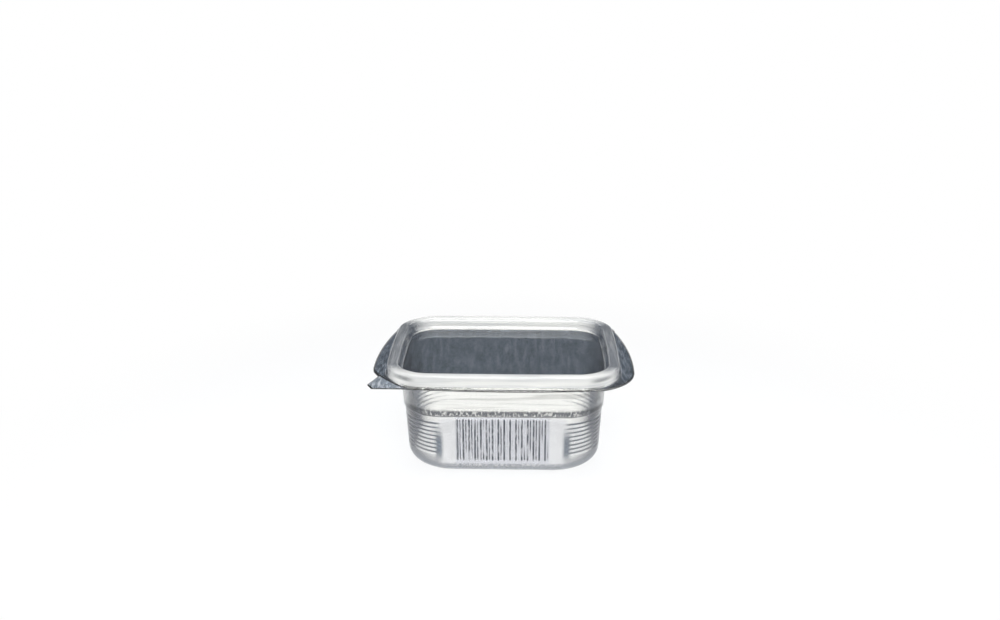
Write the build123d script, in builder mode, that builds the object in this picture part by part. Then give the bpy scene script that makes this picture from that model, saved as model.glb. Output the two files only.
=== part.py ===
"""Clear hinged-lid food pack, vacuum formed from one thin sheet: tub, living hinge and lid.

Millimetres. The origin is the centre of the tub's underside, +Z is up, the opening edge
faces -Y and the hinge runs along X at the back.
"""

from build123d import *
import math
import os

# Sheet and heights
sheet = 0.5
overall_height = 78.0
ridge_height = 8.5  # from the face where the two flanges meet to the top of the lid

# Rim ridge in plan, measured at the middle of its bowed sides
rim_length = 160.0
rim_depth = 129.0
side_bow = 2.0
front_bow = 1.0
rim_corner = 28.0

# Lid ridge in section
ridge_land = 7.0
ridge_outer_slope = 0.15  # sideways per unit of height
ridge_inner_slope = 0.29
ridge_edge = 1.0

# Tub bead that plugs into the lid's ridge
bead_clearance = 0.4
bead_top_gap = 2.0  # under the roof of the hollow ridge
bead_flare = 1.8  # how far the inner wall leans in from its top to the ledge
ledge_drop = 2.5  # from the flange down to the ledge where the bead starts

# Tub in plan
ledge_width_x = 0.6
ledge_width_y = 1.1
draft_x = 2.5  # how far a wall draws in from the mouth to the floor
draft_y = 4.3
mouth_corner = 26.0
floor_corner = 35.0
floor_radius = 10.0

# Shoulder step across the wall
step_share = 0.657  # of the height of the ledge
step_rise = 1.0
step_depth = 0.8

# Vertical flutes
flute_radius = 1.4
flute_depth = 0.9
flute_pitch = 4.0
flute_low = 12.0
flute_drop = 1.5  # from the step down to the top of the flutes
front_flutes = 16
side_flutes = 8

# Horizontal ribs round the corners
rib_count = 8
rib_low = 13.9
rib_drop = 4.5  # from the step down to the top of the ribs
rib_depth = 0.9
rib_crest = 0.3  # how far the cutter's crests stand clear of the wall
front_pilaster = 10.0  # plain wall between the flutes and the ribs
side_pilaster = 6.0

# Flange and its wings, measured outwards from the rim's half length and half depth
flange_front = 4.0
flange_back = 7.5
flange_back_end = -20.0
wing_back = (3.0, -14.5)
wing_back_middle = (-4.0, 1.5)
wing_middle = (9.2, -52.5)
wing_tip = (10.0, -31.5)
wing_front_middle = (4.0, -14.0)
wing_front = (-14.0, 0.3)
notch_middle = (2.0, -19.0)  # lid only, cut back over the tub's tab
notch_front = (-14.0, -1.3)
tab_root = (5.0, -21.5)
tab_tip = (10.5, -6.5)
tab_heel = (7.0, 0.1)
tab_radius = 1.6
tip_radius = 2.5

# Living hinge
hinge_gap = 0.2
hinge_radius = 1.4
hinge_reach = 2.0  # from the flange's edge to the middle of the fold
hinge_end_gap = 1.0

# Heights that follow
flange_height = overall_height - ridge_height
panel_top = flange_height + sheet
bead_top = overall_height - sheet - bead_top_gap
ledge_height = flange_height - ledge_drop
step_height = step_share * ledge_height
flute_high = step_height - flute_drop
rib_pitch = (step_height - rib_drop - rib_low) / rib_count

# Insets and lengths that follow, from the hollow of the ridge inwards
bead_top_inset = ridge_land + (overall_height - bead_top) * ridge_inner_slope - sheet - bead_clearance
bead_foot_inset = bead_top_inset + bead_flare
tub_length = rim_length - 2 * (bead_foot_inset + ledge_width_x)
tub_depth = rim_depth - 2 * (bead_foot_inset + ledge_width_y)
floor_length = tub_length - 2 * draft_x
floor_depth = tub_depth - 2 * draft_y
rib_start_x = front_flutes * flute_pitch / 2 + front_pilaster
rib_start_y = side_flutes * flute_pitch / 2 + side_pilaster
back_edge = rim_depth / 2 + flange_back
back_end = rim_length / 2 + flange_back_end
hinge_length = 2 * (back_end - hinge_end_gap)


def rim_section(height, inset):
    """The bowed, round-cornered outline of the rim, drawn smaller by the inset."""
    half_x = rim_length / 2 - inset
    half_y = rim_depth / 2 - inset
    corner_x = half_x - side_bow
    corner_y = half_y - front_bow
    with BuildSketch(Plane.XY.offset(height)) as section:
        with BuildLine():
            ThreePointArc((corner_x, -corner_y), (half_x, 0), (corner_x, corner_y))
            ThreePointArc((corner_x, corner_y), (0, half_y), (-corner_x, corner_y))
            ThreePointArc((-corner_x, corner_y), (-half_x, 0), (-corner_x, -corner_y))
            ThreePointArc((-corner_x, -corner_y), (0, -half_y), (corner_x, -corner_y))
        make_face()
        fillet(section.vertices(), radius=rim_corner - inset)
    return section.sketch


def rim_block(low, low_inset, high, high_inset):
    """A sloping-sided block between two rim outlines."""
    with BuildPart() as block:
        loft(sections=[rim_section(low, low_inset), rim_section(high, high_inset)], ruled=True)
    return block.part


def rim_tier(low, high, inset_at, extra):
    """A rim block whose inset follows one of the wall functions, plus an extra."""
    return rim_block(low, inset_at(low) + extra, high, inset_at(high) + extra)


def ridge_outer(height):
    """Inset of the ridge's outer wall, zero at the top edge."""
    return (height - overall_height) * ridge_outer_slope


def ridge_inner(height):
    """Inset of the ridge's inner wall, on the side of the sunk panel."""
    return ridge_land + (overall_height - height) * ridge_inner_slope


def bead_outer(height):
    """Inset of the bead's outer wall, one clearance inside the hollow ridge."""
    return ridge_outer(height) + sheet + bead_clearance


def bead_inner(height):
    """Inset of the bead's inner wall, on the side of the tub."""
    share = (height - ledge_height) / (bead_top - ledge_height)
    return bead_foot_inset + (bead_top_inset - bead_foot_inset) * share


def tub_section(height, inset):
    """The tub's rounded rectangle at a height, drawn smaller by the inset."""
    share = height / ledge_height
    half_x = (floor_length + (tub_length - floor_length) * share) / 2 - inset
    half_y = (floor_depth + (tub_depth - floor_depth) * share) / 2 - inset
    corner = floor_corner + (mouth_corner - floor_corner) * share - inset
    with BuildSketch(Plane.XY.offset(height)) as section:
        RectangleRounded(2 * half_x, 2 * half_y, corner)
    return section.sketch


def wall_lean(wide_half, narrow_half):
    """Degrees by which a tub wall leans outwards."""
    return math.degrees(math.atan2(wide_half - narrow_half, ledge_height))


def flute_cutters(grow):
    """Round-bottomed grooves for the four walls, one sheet larger for the tub's inside."""
    length = flute_high - flute_low + 2 * grow
    middle = (flute_high + flute_low) / 2
    share = middle / ledge_height
    front = (floor_depth + (tub_depth - floor_depth) * share) / 2
    side = (floor_length + (tub_length - floor_length) * share) / 2
    out = flute_radius - flute_depth - step_depth
    front_lean = wall_lean(tub_depth / 2, floor_depth / 2)
    side_lean = wall_lean(tub_length / 2, floor_length / 2)
    walls = (
        (0, front, front_lean, front_flutes),
        (90, side, side_lean, side_flutes),
        (180, front, front_lean, front_flutes),
        (270, side, side_lean, side_flutes),
    )
    with BuildPart() as cutters:
        for turn, distance, lean, count in walls:
            with Locations(Location((0, 0, middle), (0, 0, turn))):
                with Locations(Location((0, -distance - out, 0), (lean, 0, 0))):
                    with GridLocations(flute_pitch, 1, count, 1):
                        Cylinder(flute_radius + grow, length)
    return cutters.part


def rib_cutters(inset):
    """Zigzag grooves that wrap the four corners, kept to the corners by boxes."""
    band = rib_count * rib_pitch
    sections = []
    for step in range(2 * rib_count + 1):
        depth = rib_depth if step % 2 else -rib_crest
        sections.append(tub_section(rib_low + step * rib_pitch / 2, inset + step_depth + depth))
    start_x = rib_start_x - inset
    start_y = rib_start_y - inset
    reach_x = tub_length / 2 + step_depth - start_x
    reach_y = tub_depth / 2 + step_depth - start_y
    with BuildPart() as cutters:
        with Locations((0, 0, rib_low)):
            with GridLocations(2 * start_x + reach_x, 2 * start_y + reach_y, 2, 2):
                Box(reach_x, reach_y, band, align=(Align.CENTER, Align.CENTER, Align.MIN))
        loft(sections=sections, ruled=True, mode=Mode.SUBTRACT)
    return cutters.part


def tub_block(inset, top):
    """The tub as a plain solid block, drawn smaller by nothing or by the sheet."""
    with BuildPart() as block:
        loft(
            sections=[
                tub_section(inset, inset + step_depth),
                tub_section(step_height, inset + step_depth),
                tub_section(step_height + step_rise, inset),
                tub_section(top, inset),
            ],
            ruled=True,
        )
        floor = block.faces().sort_by(Axis.Z)[0]
        fillet(floor.edges(), radius=floor_radius - inset)
    return block.part


def flange_point(offset, side, end):
    """A point of the flange: side is 1 right or -1 left, end is 1 back or -1 front."""
    return (side * (rim_length / 2 + offset[0]), end * (rim_depth / 2 + offset[1]))


def flange_section(height, with_tab):
    """The flange's outline: wide wings at the sides, and the tub's tab or the lid's notch."""
    right_back = flange_point(wing_back, 1, 1)
    left_back = flange_point(wing_back, -1, 1)
    right_tip = flange_point(wing_tip, 1, -1)
    left_tip = flange_point(wing_tip, -1, -1)
    right_front = flange_point(wing_front, 1, -1)
    front_middle = (0, -rim_depth / 2 - flange_front)
    with BuildSketch(Plane.XY.offset(height)) as section:
        with BuildLine():
            Line((-back_end, back_edge), (back_end, back_edge))
            ThreePointArc((back_end, back_edge), flange_point(wing_back_middle, 1, 1), right_back)
            ThreePointArc(right_back, flange_point(wing_middle, 1, 1), right_tip)
            ThreePointArc(right_tip, flange_point(wing_front_middle, 1, -1), right_front)
            if with_tab:
                heel = flange_point(tab_heel, -1, -1)
                tip = flange_point(tab_tip, -1, -1)
                root = flange_point(tab_root, -1, -1)
                left_front = flange_point(wing_front, -1, -1)
                ThreePointArc(right_front, front_middle, left_front)
                Polyline(left_front, heel, tip, root, left_tip)
            else:
                left_front = flange_point(notch_front, -1, -1)
                ThreePointArc(right_front, front_middle, left_front)
                ThreePointArc(left_front, flange_point(notch_middle, -1, -1), left_tip)
            ThreePointArc(left_tip, flange_point(wing_middle, -1, 1), left_back)
            ThreePointArc(left_back, flange_point(wing_back_middle, -1, 1), (-back_end, back_edge))
        make_face()
        for tip_end in (right_tip, left_tip):
            nearest = section.vertices().sort_by_distance((*tip_end, height))[0]
            fillet(nearest, radius=tip_radius)
        if with_tab:
            corners = section.vertices().group_by(Axis.X)[0]
            fillet(corners, radius=tab_radius)
    return section.sketch


# Outer wall and top of the tub's bead, open from below
cap_floor = flange_height - 2 * sheet
with BuildPart() as bead_cap:
    add(rim_tier(flange_height - sheet, bead_top, bead_outer, 0))
    add(rim_tier(cap_floor, bead_top - sheet, bead_outer, sheet), mode=Mode.SUBTRACT)

# Rim of the tub: ledge, inner wall of the bead, its cap, and the flange round it
mouth_floor = ledge_height + sheet
mouth_roof = bead_top + sheet
with BuildPart() as rim:
    add(rim_tier(ledge_height, bead_top, bead_inner, -sheet))
    add(bead_cap.part)
    with BuildSketch(Plane.XY.offset(flange_height - sheet)) as flange:
        add(flange_section(flange_height - sheet, True))
        add(rim_section(flange_height - sheet, bead_outer(flange_height) + sheet / 2), mode=Mode.SUBTRACT)
    extrude(amount=sheet)
    add(rim_tier(mouth_floor, mouth_roof, bead_inner, 0), mode=Mode.SUBTRACT)

# Space inside the tub, one sheet smaller than the outside everywhere
with BuildPart() as tub_space:
    add(tub_block(sheet, mouth_floor + sheet))
    add([flute_cutters(sheet), rib_cutters(sheet)], mode=Mode.SUBTRACT)

# Tub with its floor, fluted and ribbed walls, ledge, bead and flange
with BuildPart() as base:
    add(tub_block(0, ledge_height + sheet / 2))
    add(rim.part)
    add([flute_cutters(0), rib_cutters(0)], mode=Mode.SUBTRACT)
    add(tub_space.part, mode=Mode.SUBTRACT, clean=False)

# Space under the lid's ridge
under_floor = flange_height - sheet
under_roof = overall_height - sheet
with BuildPart() as ridge_hollow:
    add(rim_tier(under_floor, under_roof, ridge_outer, sheet))
    add(rim_tier(under_floor, under_roof, ridge_inner, -sheet), mode=Mode.SUBTRACT)

# Lid with its flange, hollow ridge and sunk panel
with BuildPart() as lid:
    add(rim_tier(flange_height, overall_height, ridge_outer, 0))
    crest = lid.faces().sort_by(Axis.Z)[-1]
    fillet(crest.edges(), radius=ridge_edge)
    extrude(flange_section(flange_height, False), amount=sheet)
    add(rim_tier(panel_top, overall_height + sheet, ridge_inner, 0), mode=Mode.SUBTRACT)
    add(ridge_hollow.part, mode=Mode.SUBTRACT)

# Living hinge, the fold of sheet that loops from the tub's flange to the lid's,
# drawn about the middle of the fold, lower half first
half_sheet = sheet / 2
foot_reach = hinge_reach - hinge_gap
foot_distance = math.hypot(foot_reach, half_sheet)
leg_length = math.sqrt(foot_distance**2 - hinge_radius**2)
touch_angle = math.atan2(-half_sheet, -foot_reach) + math.acos(hinge_radius / foot_distance)
touch_degrees = math.degrees(touch_angle)
fold_middle = Plane(
    origin=(-hinge_length / 2, back_edge + hinge_reach, flange_height),
    x_dir=(0, 1, 0),
    z_dir=(1, 0, 0),
)


def fold_half(radius):
    """A quarter and more of the fold at this radius, then its straight leg to the flange."""
    touch = Vector(radius * math.cos(touch_angle), radius * math.sin(touch_angle))
    along = Vector(math.sin(touch_angle), -math.cos(touch_angle))
    foot = touch + along * leg_length
    CenterArc((0, 0), radius, touch_degrees, -touch_degrees)
    Line(touch, foot)
    return foot


with BuildPart() as living_hinge:
    with BuildSketch(fold_middle) as fold:
        with BuildLine():
            outer_foot = fold_half(hinge_radius + half_sheet)
            inner_foot = fold_half(hinge_radius - half_sheet)
            Line(outer_foot, inner_foot)
            mirror(about=Plane.XZ)
        make_face()
    extrude(amount=hinge_length)

os.makedirs("parts", exist_ok=True)
base.part.label = "base"
lid.part.label = "lid"
living_hinge.part.label = "living_hinge"
export_step(base.part, "parts/base.step")
export_step(lid.part, "parts/lid.step")
export_step(living_hinge.part, "parts/living_hinge.step")
for piece in (base.part, lid.part, living_hinge.part):
    print(piece.label, "volume", round(piece.volume), "solids", len(piece.solids()))
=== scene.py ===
# %% [markdown]
# This lesson dresses a clear food pack. The real one is formed from a single thin sheet: a
# fluted tub, a lid with a raised ridge round a sunk panel, and the strip that joins them.
# It could be modelled from nothing, but then it might drift away from the part's solids.
# So those solids come in first as a fixed frame.

# %% Load the frame
import math

import bmesh
import bpy
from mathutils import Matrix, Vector


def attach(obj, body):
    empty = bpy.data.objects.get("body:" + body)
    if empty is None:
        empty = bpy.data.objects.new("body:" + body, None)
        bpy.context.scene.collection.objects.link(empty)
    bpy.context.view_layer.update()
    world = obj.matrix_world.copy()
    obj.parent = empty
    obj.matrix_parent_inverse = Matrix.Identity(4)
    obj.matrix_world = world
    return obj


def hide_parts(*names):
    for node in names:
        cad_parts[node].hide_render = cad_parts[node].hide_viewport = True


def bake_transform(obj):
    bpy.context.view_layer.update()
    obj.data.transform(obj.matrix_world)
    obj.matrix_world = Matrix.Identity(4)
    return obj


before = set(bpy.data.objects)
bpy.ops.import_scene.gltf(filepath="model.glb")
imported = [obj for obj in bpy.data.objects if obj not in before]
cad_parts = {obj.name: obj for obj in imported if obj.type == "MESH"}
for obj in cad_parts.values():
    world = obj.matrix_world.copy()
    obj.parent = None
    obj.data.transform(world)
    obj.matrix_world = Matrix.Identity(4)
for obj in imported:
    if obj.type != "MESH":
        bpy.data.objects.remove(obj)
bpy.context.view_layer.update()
print("solid pieces:", sorted(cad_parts))

# %% [markdown]
# A mould for such a pack is drawn in millimetres. Blender could be set to them too, but its
# plain metres keep the pieces in step with the frame. So all lengths of the pack are
# millimetres, and one number turns them into metres where a point is placed. Only the room
# round it, such as lamps and camera, is in metres. The floor, the mouth and the rim are the
# pack's outlines at the bottom, at the ledge and at the top of the ridge.

# %% The pack's main sizes
MM = 0.001
SHEET = 0.5
HALF = SHEET / 2
TOP = 78.0
FLANGE = 69.5
LEDGE = 67.0
FLOOR = {"half_x": 68.275, "half_y": 50.475, "corner": 35.0}
MOUTH = {"half_x": 70.775, "half_y": 54.775, "corner": 26.0}
RIM = {"half_x": 80.0, "half_y": 64.5, "corner": 28.0, "bow_x": 2.0, "bow_y": 1.0}
print("closed height:", TOP, "mm, sheet:", SHEET, "mm")

# %% [markdown]
# Tub, lid and flange are rings round one middle. When every ring has the same number of
# points, the rings join into clean quads, which shade better than triangles. A column is
# one place round the pack: on a straight side it is a distance from the side's middle, and
# in a corner it is a share of the quarter turn. Even spacing would be simpler, but eight
# columns are needed to draw the wave of each flute, and the plain parts need far fewer.

# %% The columns round the pack
FLUTE_PITCH = 4.0
FRONT_FLUTES_HALF = 32.0
SIDE_FLUTES_HALF = 16.0
COLUMN_STEP = FLUTE_PITCH / 8
PLAIN_STEPS = 4
CORNER_STEPS = 23


def last_column(fluted_half):
    """The last even column on a side, two steps inside the end of its flutes."""
    return COLUMN_STEP * math.floor(fluted_half / COLUMN_STEP - 2)


def side_columns(fluted_half):
    """Places along one side: ('at', mm) over the flutes, ('to_corner', share) beyond."""
    count = round(last_column(fluted_half) / COLUMN_STEP)
    middle = [("at", i * COLUMN_STEP) for i in range(-count, count + 1)]
    before = [("to_corner", -1 + i / PLAIN_STEPS) for i in range(PLAIN_STEPS)]
    after = [("to_corner", (i + 1) / PLAIN_STEPS) for i in range(PLAIN_STEPS)]
    return before + middle + after


def turn_columns():
    """Places round one corner as shares of a quarter turn, its two ends left out."""
    return [("turn", (i + 1) / (CORNER_STEPS + 1)) for i in range(CORNER_STEPS)]


long_side = side_columns(FRONT_FLUTES_HALF)
short_side = side_columns(SIDE_FLUTES_HALF)
COLUMNS = []
for side, places in enumerate((long_side, short_side, long_side, short_side)):
    COLUMNS += [(side, kind, value) for kind, value in places + turn_columns()]
print("columns round the pack:", len(COLUMNS))

# %% [markdown]
# Seen from above, every level of the pack is a rounded rectangle. A curve object could draw
# each one, but its points wouldn't line up from level to level. So an outline is worked out
# at the same columns every time. The rim's sides are slightly bowed, as on formed packs, so
# its points are pulled in towards the corners. Sides are numbered 0 to 3 from the front,
# anticlockwise seen from above.

# %% A rounded rectangle at the columns


def side_place(column, half_along, half_across, corner, fluted_half):
    """Distance along the side, and distance out from the pack's middle line."""
    kind, value = column[1], column[2]
    if kind == "at":
        return value, half_across
    straight = half_along - corner
    if kind == "to_corner":
        last = last_column(fluted_half)
        reach = last + (straight - last) * abs(value)
        return math.copysign(reach, value), half_across
    angle = value * math.pi / 2
    return straight + corner * math.sin(angle), half_across - corner * (1 - math.cos(angle))


def outline(half_x, half_y, corner, bow_x=0.0, bow_y=0.0):
    """(x, y) in millimetres for every column of a rounded, bowed rectangle."""
    points = []
    for column in COLUMNS:
        side = column[0]
        if side % 2 == 0:
            along, out = side_place(column, half_x, half_y, corner, FRONT_FLUTES_HALF)
        else:
            along, out = side_place(column, half_y, half_x, corner, SIDE_FLUTES_HALF)
        x, y = ((along, -out), (out, along), (-along, out), (-out, -along))[side]
        points.append((
            x * (1 - bow_x / half_x * (y / half_y) ** 2),
            y * (1 - bow_y / half_y * (x / half_x) ** 2),
        ))
    return points


# %% The outlines of the rim and the tub


def rim_outline(inset):
    """The rim's bowed outline, drawn smaller by the inset."""
    half_x, half_y, corner = RIM["half_x"], RIM["half_y"], RIM["corner"]
    return outline(half_x - inset, half_y - inset, corner - inset, RIM["bow_x"], RIM["bow_y"])


def tub_outline(height, inset):
    """The tub's outline at a height, between its floor and its mouth."""
    share = height / LEDGE
    half_x = FLOOR["half_x"] + (MOUTH["half_x"] - FLOOR["half_x"]) * share
    half_y = FLOOR["half_y"] + (MOUTH["half_y"] - FLOOR["half_y"]) * share
    corner = FLOOR["corner"] + (MOUTH["corner"] - FLOOR["corner"]) * share
    return outline(half_x - inset, half_y - inset, corner - inset)


corner_point = rim_outline(0)[len(long_side) + CORNER_STEPS // 2]
print("rim at its front right corner:", [round(v, 1) for v in corner_point])

# %% [markdown]
# Flutes are upright grooves in the four walls, and ribs are level waves round the corners.
# Both stiffen the thin sheet, and both press the wall inwards. A Displace modifier could
# press them in, but exact depths are easier to hold when the outline itself moves. They are
# smooth waves, and their ends fade, over 1.5 mm for a flute and 4 mm for a rib, because a
# sheet that is drawn over a mould can't make a sharp end.

# %% Flutes and ribs
FLUTE_DEPTH = 0.9
FLUTE_LOW = 10.0
FLUTE_HIGH = 43.4
FLUTE_FADE = 1.5
RIB_DEPTH = 0.9
RIB_LOW = 13.9
RIB_HIGH = 39.5
RIB_PITCH = 3.2
RIB_FADE_X = (41.0, 45.0)
RIB_FADE_Y = (21.0, 25.0)


def smooth_step(value, low, high):
    """0 below low, 1 above high, and an S-curve between them."""
    share = min(1.0, max(0.0, (value - low) / (high - low)))
    return share * share * (3 - 2 * share)


def flute_wave(along):
    """Depth of the flutes at a distance along their wall, nothing at its middle."""
    place = along + FLUTE_PITCH / 2
    return FLUTE_DEPTH * (0.5 + 0.5 * math.cos(2 * math.pi * place / FLUTE_PITCH))


def wall_press(x, y, side, height):
    """How far the wall is pressed inwards at this place and height."""
    along = x if side % 2 == 0 else y
    fluted = FRONT_FLUTES_HALF if side % 2 == 0 else SIDE_FLUTES_HALF
    press = 0.0
    if abs(along) < fluted:
        ends = smooth_step(height, FLUTE_LOW, FLUTE_LOW + FLUTE_FADE)
        ends *= 1 - smooth_step(height, FLUTE_HIGH - FLUTE_FADE, FLUTE_HIGH)
        press = flute_wave(along) * ends
    in_corner = smooth_step(abs(x), *RIB_FADE_X) * smooth_step(abs(y), *RIB_FADE_Y)
    if in_corner and RIB_LOW < height < RIB_HIGH:
        wave = 0.5 - 0.5 * math.cos(2 * math.pi * (height - RIB_LOW) / RIB_PITCH)
        press += RIB_DEPTH * wave * in_corner
    return press


print("flutes on the front wall:", round(2 * FRONT_FLUTES_HALF / FLUTE_PITCH))
print("deepest place of a flute:", flute_wave(FLUTE_PITCH / 2), "mm")
print("ribs at each corner:", round((RIB_HIGH - RIB_LOW) / RIB_PITCH))

# %% Pressing them into an outline
OUTWARD = ((0, -1), (1, 0), (0, 1), (-1, 0))


def pressed(points, height):
    """An outline with its flutes and ribs pressed in, towards the pack's middle."""
    result = []
    for (x, y), column in zip(points, COLUMNS):
        depth = wall_press(x, y, column[0], height)
        if depth:
            aim = Vector((x, y)).normalized() if column[1] == "turn" else Vector(OUTWARD[column[0]])
            x, y = x - aim.x * depth, y - aim.y * depth
        result.append((x, y))
    return result


# %% [markdown]
# The flange is the flat border where tub and lid meet. At the sides it widens into two
# wings. The tub's flange ends at the left in a thumb tab, and the lid's is cut back there so
# that a thumb finds the tab. A flat plate could be cut to this edge with a Boolean, but the
# flange has to grow out of the same rings as the walls. So its edge is a row of points, and
# each column ends where its line from the pack's middle crosses that row.

# %% An arc through three points


def arc_points(start, middle, end, steps=16):
    """Points on the circle through three points, the last one left out."""
    ax, ay = start
    bx, by = middle
    cx, cy = end
    a_square, b_square, c_square = ax**2 + ay**2, bx**2 + by**2, cx**2 + cy**2
    twice = 2 * (ax * (by - cy) + bx * (cy - ay) + cx * (ay - by))
    mid_x = (a_square * (by - cy) + b_square * (cy - ay) + c_square * (ay - by)) / twice
    mid_y = (a_square * (cx - bx) + b_square * (ax - cx) + c_square * (bx - ax)) / twice
    first = math.atan2(ay - mid_y, ax - mid_x)
    half = math.atan2(by - mid_y, bx - mid_x)
    last = math.atan2(cy - mid_y, cx - mid_x)
    turn = (last - first) % (2 * math.pi)
    if (half - first) % (2 * math.pi) > turn:
        turn -= 2 * math.pi
    radius = math.hypot(ax - mid_x, ay - mid_y)
    angles = [first + turn * i / steps for i in range(steps)]
    return [(mid_x + radius * math.cos(a), mid_y + radius * math.sin(a)) for a in angles]


# %% The flange's edge as a row of points
BACK_CORNER = (60.0, 72.0)
BACK_ROUND = (76.0, 66.0)
WING_BACK = (83.0, 50.0)
WING_SIDE = (89.2, 12.0)
WING_TIP = (90.0, -33.0)
WING_ROUND = (84.0, -50.5)
WING_FRONT = (66.0, -64.8)
FRONT_MIDDLE = (0, -68.5)
CUT_ROUND = (-82.0, -45.5)
CUT_END = (-66.0, -63.2)
TAB = [(-66.0, -64.8), (-87.0, -64.6), (-90.5, -58.0), (-85.0, -43.0)]


def mirrored(point):
    """The same point on the pack's left side."""
    return (-point[0], point[1])


def flange_row(with_tab):
    """The flange's edge as points, anticlockwise from the back right corner."""
    row = [BACK_CORNER, mirrored(BACK_CORNER)]
    row += arc_points(mirrored(BACK_CORNER), mirrored(BACK_ROUND), mirrored(WING_BACK))[1:]
    row += arc_points(mirrored(WING_BACK), mirrored(WING_SIDE), mirrored(WING_TIP))
    if with_tab:
        row += [mirrored(WING_TIP)] + TAB[::-1]
        row += arc_points(TAB[0], FRONT_MIDDLE, WING_FRONT)[1:]
    else:
        row += arc_points(mirrored(WING_TIP), CUT_ROUND, CUT_END)
        row += arc_points(CUT_END, FRONT_MIDDLE, WING_FRONT)
    row += arc_points(WING_FRONT, WING_ROUND, WING_TIP)
    row += arc_points(WING_TIP, WING_SIDE, WING_BACK)
    row += arc_points(WING_BACK, BACK_ROUND, BACK_CORNER)
    return row


print("points in the tub's row:", len(flange_row(True)))

# %% The flange's edge at every column


def crossing(direction, row):
    """Where the line from the middle in this direction leaves the row of points."""
    dx, dy = direction
    best = 0.0
    for (ax, ay), (bx, by) in zip(row, row[1:] + row[:1]):
        ex, ey = bx - ax, by - ay
        cross = dx * ey - dy * ex
        if abs(cross) < 1e-9:
            continue
        reach = (ax * ey - ay * ex) / cross
        share = (ax * dy - ay * dx) / cross
        if reach > 0 and -1e-6 <= share <= 1 + 1e-6:
            best = max(best, reach)
    return dx * best, dy * best


def flange_outline(with_tab, inset):
    """The flange's edge at every column, with the tab's corners kept sharp."""
    row = flange_row(with_tab)
    points = [crossing(p, row) for p in rim_outline(0)]
    if with_tab:
        for corner in TAB[1:]:
            nearest = min(range(len(points)), key=lambda i: math.dist(points[i], corner))
            points[nearest] = corner
    shares = [1 - inset / math.hypot(x, y) for x, y in points]
    return [(x * share, y * share) for (x, y), share in zip(points, shares)]


edge_x = [x for x, y in flange_outline(True, 0)]
print("wing reach:", round(max(edge_x), 1), "mm, tab reach:", round(min(edge_x), 1), "mm")

# %% [markdown]
# A formed sheet is one skin with no seams, so one function grows every shell. It starts with
# a small capped circle in the middle, extrudes the edge again and again, and moves each new
# ring to its outline. Separate inner and outer skins could be made instead, but a Solidify
# modifier gives the sheet an even thickness with half the work.

# %% Growing a shell from rings


def sheet_object(name, bm, thickness):
    """An object from a bmesh skin, with the sheet's thickness as a modifier."""
    bmesh.ops.remove_doubles(bm, verts=bm.verts, dist=1e-7)
    bmesh.ops.recalc_face_normals(bm, faces=bm.faces)
    for face in bm.faces:
        face.smooth = True
    mesh = bpy.data.meshes.new(name)
    bm.to_mesh(mesh)
    bm.free()
    piece = bpy.data.objects.new(name, mesh)
    bpy.context.scene.collection.objects.link(piece)
    sheet = piece.modifiers.new("sheet", "SOLIDIFY")
    sheet.thickness = thickness * MM
    sheet.offset = 0.0
    print(name, "faces:", len(mesh.polygons))
    return piece


def next_ring(bm, ring):
    """Extrude a ring of points, and give the new ones in the same order."""
    edges = [bm.edges.get((a, b)) for a, b in zip(ring, ring[1:] + ring[:1])]
    grown = bmesh.ops.extrude_edge_only(bm, edges=edges)
    fresh = {v for v in grown["geom"] if isinstance(v, bmesh.types.BMVert)}
    return [next(e.other_vert(v) for e in v.link_edges if e.other_vert(v) in fresh) for v in ring]


def shell_object(name, rings):
    """A skin through (outline, height) rings, from the middle outwards."""
    bm = bmesh.new()
    made = bmesh.ops.create_circle(bm, cap_ends=True, segments=len(COLUMNS), radius=1.0)
    ring = list(made["verts"])
    for step, (points, height) in enumerate(rings):
        if step:
            ring = next_ring(bm, ring)
        for vert, (x, y) in zip(ring, points):
            vert.co = Vector((x, y, height)) * MM
    return sheet_object(name, bm, SHEET)


# %% [markdown]
# The tub holds the food. Its rings start in the middle of the floor, turn up through the
# rounded foot, climb the walls past the flutes and ribs, and step out at the shoulder to the
# plain band above. A bevelled cube would give the rough form, but flutes and ribs need a
# wall of close, even rings and columns, so the shell is grown ring by ring.

# %% The tub's floor and foot
STEP_DEPTH = 0.8
FOOT_RADIUS = 10.0
FOOT_STEPS = 8
FLOOR_SHARES = (0.05, 0.35, 0.7, 0.92)
floor_points = tub_outline(0, STEP_DEPTH + FOOT_RADIUS)
tub_rings = [([(x * share, y * share) for x, y in floor_points], HALF) for share in FLOOR_SHARES]
turn_radius = FOOT_RADIUS - HALF
for i in range(FOOT_STEPS + 1):
    angle = math.pi / 2 * i / FOOT_STEPS
    height = HALF + turn_radius * (1 - math.cos(angle))
    inset = HALF + STEP_DEPTH + turn_radius * (1 - math.sin(angle))
    tub_rings.append((tub_outline(height, inset), height))
print("rings in the floor and foot:", len(tub_rings))

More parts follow.
